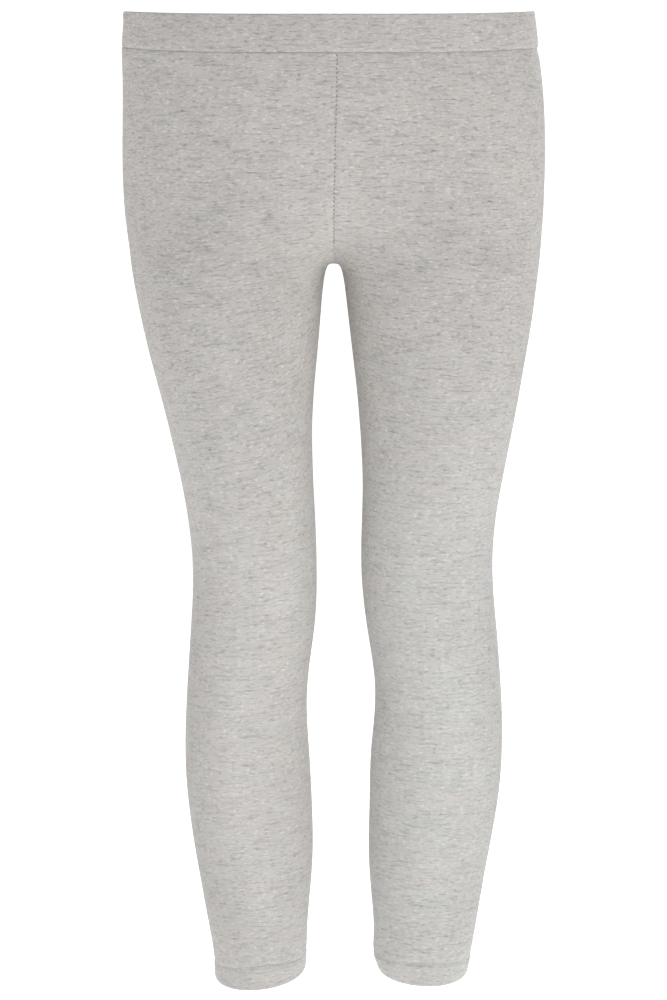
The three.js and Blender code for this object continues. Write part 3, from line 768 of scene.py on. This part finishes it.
def stitch_row(name, material, path, normals, pitch, length, thick, lift, across, seed):
    """Stitches along a path on the cloth, joined in one mesh; across lays each one over the seam."""
    run = np.concatenate([[0], np.cumsum(np.linalg.norm(np.diff(path, axis=0), axis=1))])
    count = int(run[-1] / pitch)
    rng = np.random.default_rng(seed)
    middle = (np.arange(count) + 0.5) * run[-1] / count + rng.uniform(-0.07, 0.07, count) * pitch

    def at(values, where):
        return np.stack([np.interp(where, run, values[:, k]) for k in range(3)], 1)

    def unit(v):
        return v / np.linalg.norm(v, axis=1, keepdims=True)

    up = unit(at(normals, middle))
    along = unit(at(path, middle + 0.5) - at(path, middle - 0.5))
    side = unit(np.cross(up, along))
    lean = rng.uniform(-0.10, 0.10, count)[:, None]
    size = rng.uniform(0.9, 1.1, count)[:, None]
    rings = []
    for share, round_, sink in STITCH_RINGS:
        if across:
            centre = at(path, middle) + (side + along * lean) * share * length * size
        else:
            centre = at(path, middle + share * length) + side * lean * share * length
        centre = centre + up * (lift - sink * thick)
        span = along if across else side
        for k in range(STITCH_SIDES):
            a = 2 * math.pi * k / STITCH_SIDES
            rings.append(centre + (span * math.cos(a) + up * math.sin(a) * 0.8) * round_ * thick / 2 * size)
    verts = np.stack(rings, 1).reshape(count, -1, 3)
    one = []
    for r in range(len(STITCH_RINGS) - 1):
        for k in range(STITCH_SIDES):
            j = (k + 1) % STITCH_SIDES
            one.append((r * STITCH_SIDES + k, r * STITCH_SIDES + j, (r + 1) * STITCH_SIDES + j, (r + 1) * STITCH_SIDES + k))
    caps = [tuple(range(STITCH_SIDES))[::-1], tuple(range(STITCH_SIDES * (len(STITCH_RINGS) - 1), STITCH_SIDES * len(STITCH_RINGS)))]
    per = STITCH_SIDES * len(STITCH_RINGS)
    faces = [tuple(i * per + v for v in face) for i in range(count) for face in one + caps]
    if across:
        faces = [face[::-1] for face in faces]
    mesh = bpy.data.meshes.new(name)
    mesh.from_pydata((verts.reshape(-1, 3) * MM).tolist(), [], faces)
    mesh.polygons.foreach_set("use_smooth", np.ones(len(faces), bool))
    mesh.update()
    mesh.materials.append(material)
    obj = bpy.data.objects.new(name, mesh)
    bpy.context.scene.collection.objects.link(obj)
    return obj


def hem_path(layer):
    """The line round the leg where the turned-up hem is stitched, on the cloth's face."""
    leg = layer.leg
    over = leg["hem"] - hem_line(layer.body, leg["s"])
    path, normals = [], []
    for c in range(over.shape[1]):
        row = np.interp(0.0, over[::-1, c], np.arange(over.shape[0])[::-1])
        i = int(min(row, over.shape[0] - 2))
        f = row - i
        path.append(leg["place"][i, c] * (1 - f) + leg["place"][i + 1, c] * f)
        normals.append(leg["normal"][i, c] * (1 - f) + leg["normal"][i + 1, c] * f)
    return np.array(path), np.array(normals)


# ---- materials -------------------------------------------------------------------------------------
def nodes_of(name):
    material = bpy.data.materials.new(name)
    material.use_nodes = True
    tree = material.node_tree
    return material, tree, tree.nodes, tree.links, tree.nodes["Principled BSDF"]


def jersey(name, light, shift=(0.0, 0.0), low=(0.999, 1.0, 0.998), side_line=0.925, inseam=None):
    """light is the colour; low is what it is multiplied by in the lower leg; side_line is the painted shade at the
    calf's side;
    inseam gives half the girth against the coordinate along the leg, and how much painted light lifts the thigh there."""
    material, tree, nodes, link, shader = nodes_of(name)
    coord = nodes.new("ShaderNodeUVMap")
    coord.uv_map = "grain"

    def noise(scale_u, scale_v, detail, rough, offset, distortion=0.0):
        place = nodes.new("ShaderNodeMapping")
        place.inputs["Scale"].default_value = (scale_u, scale_v, 1)
        place.inputs["Location"].default_value = (offset + shift[0], offset * 1.7 + shift[1], 0)
        link.new(coord.outputs["UV"], place.inputs["Vector"])
        tex = nodes.new("ShaderNodeTexNoise")
        tex.noise_dimensions = "2D"
        tex.inputs["Scale"].default_value = 1.0
        tex.inputs["Detail"].default_value = detail
        tex.inputs["Roughness"].default_value = rough
        tex.inputs["Distortion"].default_value = distortion
        link.new(place.outputs["Vector"], tex.inputs["Vector"])
        return tex.outputs["Fac"]

    def remap(value, a, b, c, d):
        r = nodes.new("ShaderNodeMapRange")
        r.clamp = True
        r.interpolation_type = "SMOOTHSTEP"
        for k, x in zip(("From Min", "From Max", "To Min", "To Max"), (a, b, c, d)):
            r.inputs[k].default_value = x
        link.new(value, r.inputs["Value"])
        return r.outputs["Result"]

    def math_node(op, a, b):
        m = nodes.new("ShaderNodeMath")
        m.operation = op
        for k, x in enumerate((a, b)):
            if isinstance(x, (int, float)):
                m.inputs[k].default_value = x
            else:
                link.new(x, m.inputs[k])
        return m.outputs[0]

    # yarn by yarn: short dark flecks and pale slubs along the courses
    dark = remap(noise(178, 590, 2.5, 0.62, 3.1, 0.15), 0.30, 0.46, 1.0, 0.0)
    pale = remap(noise(205, 620, 2.5, 0.62, 17.3, 0.15), 0.54, 0.71, 0.0, 1.0)
    long_dark = remap(noise(52, 430, 2.0, 0.5, 29.9, 0.4), 0.31, 0.48, 1.0, 0.0)
    mottle = noise(30, 80, 2.5, 0.6, 41.0)
    cloud = noise(7, 16, 1.0, 0.5, 57.0)
    value = math_node("MULTIPLY_ADD", dark, -0.25)
    value.node.inputs[2].default_value = 1.0
    value = math_node("ADD", value, math_node("MULTIPLY", pale, 0.25))
    value = math_node("ADD", value, math_node("MULTIPLY", long_dark, -0.16))
    value = math_node("ADD", value, math_node("MULTIPLY", math_node("SUBTRACT", mottle, 0.5), 0.22))
    value = math_node("ADD", value, math_node("MULTIPLY", math_node("SUBTRACT", cloud, 0.5), 0.05))
    # the flecks stand out less on the legs, where the knit is stretched; painted shade darkens the jersey from the hips
    # to the crotch and painted light makes the legs paler
    along = nodes.new("ShaderNodeSeparateXYZ")
    link.new(coord.outputs["UV"], along.inputs["Vector"])
    value = math_node("MULTIPLY", math_node("SUBTRACT", value, 1.0), remap(along.outputs["Y"], -0.20, -0.48, 1.0, 0.84))
    value = math_node("ADD", value, 1.0)
    # painted shade: darker from the hips down
    value = math_node("MULTIPLY", value, remap(along.outputs["Y"], -0.10, -0.19, 0.985, 0.955))
    # painted light: paler down the legs
    value = math_node("MULTIPLY", value, remap(along.outputs["Y"], -0.20, -0.48, 1.0, 1.092))
    # below the knee: painted light down the middle of the shin and the calf, painted shade along the outer side and
    # towards the inseam
    aside = math_node("ABSOLUTE", along.outputs["X"], 0)
    over = math_node("MULTIPLY", remap(aside, 0.018, 0.080, side_line, 1.034), remap(aside, 0.075, 0.105, 1.0, 0.972))
    below = math_node("MULTIPLY", remap(along.outputs["Y"], -0.34, -0.56, 0, 1), remap(along.outputs["Y"], -0.73, -0.80, 1.0, 0.2))
    # painted light: a little paler towards the ankle
    value = math_node("MULTIPLY", value, remap(along.outputs["Y"], -0.75, -0.80, 1.0, 1.025))
    # over the belly and the seat: painted light on the upper part, painted shade on the lower part
    rounded = math_node("MULTIPLY", remap(aside, 0.08, 0.165, 0, 1), remap(along.outputs["Y"], -0.225, -0.165, 0, 1))
    belly_seat_painted_light_shade = math_node("SUBTRACT", remap(along.outputs["Y"], -0.05, -0.125, 1.035, 0.950), 1.0)
    value = math_node("MULTIPLY", value, math_node("ADD", math_node("MULTIPLY", rounded, belly_seat_painted_light_shade), 1.0))
    # the lower leg's painted light and shade, applied
    value = math_node("MULTIPLY", value, math_node("ADD", math_node("MULTIPLY", math_node("SUBTRACT", over, 1.0), below), 1.0))
    if inseam:
        # painted light on the inner thigh along the inseam, against the shade between the legs
        half = math_node("MULTIPLY_ADD", along.outputs["Y"], inseam[1])
        half.node.inputs[2].default_value = inseam[0]
        # painted light: paler near the inseam, fading out down the leg
        pull = math_node("MULTIPLY", remap(math_node("SUBTRACT", half, aside), 0.0, 0.112, inseam[2], 0.0), remap(along.outputs["Y"], -0.28, -0.56, 1.0, 0.0))
        value = math_node("MULTIPLY", value, math_node("ADD", pull, 1.0))
    patch = remap(noise(20, 48, 1.5, 0.5, 71.0), 0.35, 0.65, 0, 1)

    def two_tone(warm, spread_):
        tint = nodes.new("ShaderNodeMix")
        tint.data_type = "RGBA"
        cool, rosy = [1 - 0.012 * spread_, 1, 1], [1 + 0.012 * spread_, 1 - 0.006 * spread_, 1 - 0.006 * spread_]
        tint.inputs["A"].default_value = (*[c * k * w for c, k, w in zip(light, cool, warm)], 1)
        tint.inputs["B"].default_value = (*[c * k * w for c, k, w in zip(light, rosy, warm)], 1)
        link.new(patch, tint.inputs["Factor"])
        return tint.outputs["Result"]

    # a shade warmer at the hips, where the jersey is slack
    warmth = nodes.new("ShaderNodeMix")
    warmth.data_type = "RGBA"
    link.new(two_tone((1.010, 0.998, 0.988), 0.45), warmth.inputs["A"])
    link.new(two_tone(low, 0.9), warmth.inputs["B"])
    link.new(remap(along.outputs["Y"], -0.20, -0.48, 0, 1), warmth.inputs["Factor"])
    scale = nodes.new("ShaderNodeVectorMath")
    scale.operation = "SCALE"
    link.new(warmth.outputs["Result"], scale.inputs[0])
    link.new(value, scale.inputs["Scale"])
    link.new(scale.outputs["Vector"], shader.inputs["Base Color"])
    # knit: loops in wales and courses, uneven yarn
    split = nodes.new("ShaderNodeSeparateXYZ")
    link.new(coord.outputs["UV"], split.inputs["Vector"])
    wale = math_node("SINE", math_node("MULTIPLY", split.outputs["X"], 2 * math.pi / 0.00075), 0)
    course = math_node("SINE", math_node("MULTIPLY", split.outputs["Y"], 2 * math.pi / 0.0006), 0)
    loops = math_node("MULTIPLY", wale, math_node("MULTIPLY_ADD", course, 0.5))
    loops.node.inputs[1].default_value = 0.5
    bump = nodes.new("ShaderNodeBump")
    bump.inputs["Strength"].default_value = 0.55
    bump.inputs["Distance"].default_value = 0.00022
    height = math_node("ADD", math_node("MULTIPLY", loops, 0.22), math_node("MULTIPLY", noise(420, 1500, 2.0, 0.6, 5.5), 1.6))
    height = math_node("ADD", height, math_node("MULTIPLY", dark, -0.5))
    link.new(height, bump.inputs["Height"])
    link.new(bump.outputs["Normal"], shader.inputs["Normal"])
    shader.inputs["Roughness"].default_value = 0.92
    shader.inputs["Specular IOR Level"].default_value = 0.22
    shader.inputs["Sheen Weight"].default_value = 0.12
    shader.inputs["Sheen Roughness"].default_value = 0.45
    shader.inputs["Sheen Tint"].default_value = (0.95, 0.94, 0.93, 1)
    return material


def plain(name, colour, rough, grit=0.12):
    """An even colour with a fine variation of its own."""
    material, tree, nodes, link, shader = nodes_of(name)
    coord = nodes.new("ShaderNodeTexCoord")
    tex = nodes.new("ShaderNodeTexNoise")
    tex.inputs["Scale"].default_value = 900
    link.new(coord.outputs["Object"], tex.inputs["Vector"])
    mix = nodes.new("ShaderNodeMix")
    mix.data_type = "RGBA"
    mix.inputs["A"].default_value = (*[c * (1 - grit) for c in colour], 1)
    mix.inputs["B"].default_value = (*[min(1, c * (1 + grit)) for c in colour], 1)
    link.new(tex.outputs["Fac"], mix.inputs["Factor"])
    link.new(mix.outputs["Result"], shader.inputs["Base Color"])
    shader.inputs["Roughness"].default_value = rough
    shader.inputs["Specular IOR Level"].default_value = 0.2
    return material


LEG_LIGHT = (0.4845, 0.471, 0.4565)
# the two legs differ in their painted shade at the calf's side (side_line) and painted light on the inner thigh
# (inseam)
left_jersey = jersey("leg_jersey_left", LEG_LIGHT, (0.0, 0.0), (0.994, 1.007, 1.001), 0.925, (0.368, 0.382, 0.16))
right_jersey = jersey("leg_jersey_right", LEG_LIGHT, (13.0, 7.0), low=(1.003, 1.0, 0.993), side_line=0.895, inseam=(0.384, 0.420, 0.37))
band_jersey = jersey("waistband_jersey", (0.476, 0.4625, 0.449), (5.0, 23.0))
# thread of the centre seam's stitches: real stitches, made darker than the jersey as painted shade for the stitch holes
dark_seam_thread_painted_shade = plain("dark_seam_thread_painted_shade", (0.255, 0.245, 0.235), 0.8)
hem_thread = plain("hem_thread", (0.33, 0.32, 0.31), 0.75)

left_body, left_cloth, left_layer = panel(1, "leg_panel_left_cloth", left_jersey)
right_body, right_cloth, right_layer = panel(-1, "leg_panel_right_cloth", right_jersey)
band_cloth = waistband(left_body, right_body, "waistband_cloth", band_jersey)

for obj, node, slot in ((left_cloth, "leg_panel_left", "leg_jersey_left"), (right_cloth, "leg_panel_right", "leg_jersey_right"),
                        (band_cloth, "waistband", "waistband_jersey")):
    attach(obj, "root")
    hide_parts(node)
seam = left_body.seam
in_front = int(np.argmax(seam[:, 2] < -173))
at_back = len(seam) - int(np.argmax(seam[::-1, 2] < -168))
front_stitches = stitch_row("centre_front_stitches", dark_seam_thread_painted_shade, seam[:in_front], left_body.seam_normals[:in_front],
                            3.65, 1.9, 1.0, -0.16, True, 5)
back_stitches = stitch_row("centre_back_stitches", dark_seam_thread_painted_shade, seam[at_back:], left_body.seam_normals[at_back:],
                           3.65, 1.9, 1.0, -0.16, True, 4)
left_stitches = stitch_row("left_hem_stitches", hem_thread, *hem_path(left_layer), 3.3, 2.4, 0.50, 0.06, False, 6)
right_stitches = stitch_row("right_hem_stitches", hem_thread, *hem_path(right_layer), 3.3, 2.4, 0.50, 0.06, False, 8)
for obj, slot in ((front_stitches, "leg_jersey_left"), (back_stitches, "leg_jersey_left"), (left_stitches, "leg_jersey_left"),
                  (right_stitches, "leg_jersey_right")):
    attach(obj, "root")

# ---- stage, light, camera --------------------------------------------------------------------------
FLOOR_GLOW = 0.60
WALL_GLOW = 0.08


def backdrop():
    """A pale round floor that curves up into a wall all the way round. The paper glows, most on the floor and on the
    wall behind, little high up in front, and its glow lights the garment too.
    """
    floor_z, reach, radius = -0.92, 6.0, 1.6
    profile = [(0.6, floor_z), (2.4, floor_z), (reach - radius, floor_z)]
    for k in range(1, 13):
        a = math.pi / 2 * k / 12
        profile.append((reach - radius + radius * math.sin(a), floor_z + radius - radius * math.cos(a)))
    profile.append((reach, 3.4))
    around = 72
    verts = [(0, 0, floor_z)]
    for r, z in profile:
        verts += [(r * math.cos(2 * math.pi * k / around), r * math.sin(2 * math.pi * k / around), z) for k in range(around)]
    faces = [(0, 1 + k, 1 + (k + 1) % around) for k in range(around)]
    for i in range(len(profile) - 1):
        a, b = 1 + i * around, 1 + (i + 1) * around
        faces += [(a + k, b + k, b + (k + 1) % around, a + (k + 1) % around) for k in range(around)]
    mesh = bpy.data.meshes.new("backdrop")
    mesh.from_pydata(verts, [], faces)
    mesh.polygons.foreach_set("use_smooth", np.ones(len(faces), bool))
    glowing_paper = plain("backdrop_paper", (0.88, 0.88, 0.88), 0.95, 0.004)
    shader = glowing_paper.node_tree.nodes["Principled BSDF"]
    shader.inputs["Emission Color"].default_value = (1, 1, 1, 1)
    nodes, link = glowing_paper.node_tree.nodes, glowing_paper.node_tree.links
    place = nodes.new("ShaderNodeNewGeometry")
    split = nodes.new("ShaderNodeSeparateXYZ")
    link.new(place.outputs["Position"], split.inputs["Vector"])
    parts = []
    for axis, start, end in (("Z", 0.5, -0.6), ("Y", -0.5, 2.6)):
        step = nodes.new("ShaderNodeMapRange")
        step.interpolation_type = "SMOOTHSTEP"
        step.inputs["From Min"].default_value = start
        step.inputs["From Max"].default_value = end
        link.new(split.outputs[axis], step.inputs["Value"])
        parts.append(step.outputs["Result"])
    most = nodes.new("ShaderNodeMath")
    most.operation = "MAXIMUM"
    link.new(parts[0], most.inputs[0])
    link.new(parts[1], most.inputs[1])
    glow = nodes.new("ShaderNodeMapRange")
    glow.inputs["To Min"].default_value = WALL_GLOW
    glow.inputs["To Max"].default_value = FLOOR_GLOW
    link.new(most.outputs[0], glow.inputs["Value"])
    link.new(glow.outputs["Result"], shader.inputs["Emission Strength"])
    mesh.materials.append(glowing_paper)
    obj = bpy.data.objects.new("backdrop", mesh)
    bpy.context.scene.collection.objects.link(obj)


def area_light(name, place, aim, size, power, colour=(1, 1, 1)):
    lamp = bpy.data.lights.new(name, "AREA")
    lamp.shape = "RECTANGLE"
    lamp.size, lamp.size_y = size
    lamp.energy = power
    lamp.color = colour
    obj = bpy.data.objects.new(name, lamp)
    obj.location = place
    d = np.array(aim, float) - np.array(place, float)
    obj.rotation_euler = (math.atan2(math.hypot(d[0], d[1]), -d[2]), 0, math.atan2(-d[0], d[1]))
    bpy.context.scene.collection.objects.link(obj)
    return obj


backdrop()
for name, azimuth, elevation, size, power in (
    ("high_left", -60, 25, (1.4, 1.4), 12.6),
    ("high_front_right", 25, 25, (1.4, 1.4), 10.2),
    ("high_right", 60, 25, (1.4, 1.4), 3.4),
    ("low_right", 55, -3, (1.4, 0.6), 9.2),
    ("low_front_right", 35, -3, (1.4, 0.6), 4.5),
    ("high_back", 162, 62, (0.8, 0.8), 42),
):
    e, a = math.radians(elevation), math.radians(azimuth)
    place = (2.8 * math.cos(e) * math.sin(a), -2.8 * math.cos(e) * math.cos(a), -0.4 + 2.8 * math.sin(e))
    area_light(name, place, (0, 0, -0.4), size, power)
world = bpy.data.worlds.new("studio")
bpy.context.scene.world = world
world.use_nodes = True
world.node_tree.nodes["Background"].inputs["Color"].default_value = (1, 1, 1, 1)
world.node_tree.nodes["Background"].inputs["Strength"].default_value = 0.02
bpy.context.scene.view_settings.view_transform = "Standard"
bpy.context.scene.view_settings.look = "None"

camera = bpy.data.cameras.new("camera")
camera.lens = 136.605
camera.sensor_width = 36
camera_obj = bpy.data.objects.new("camera", camera)
camera_obj.location = (0.003485, -3.2, 0.0097)
camera_obj.rotation_euler = (math.radians(90 - 7.1955), 0, 0)
bpy.context.scene.collection.objects.link(camera_obj)
bpy.context.scene.camera = camera_obj
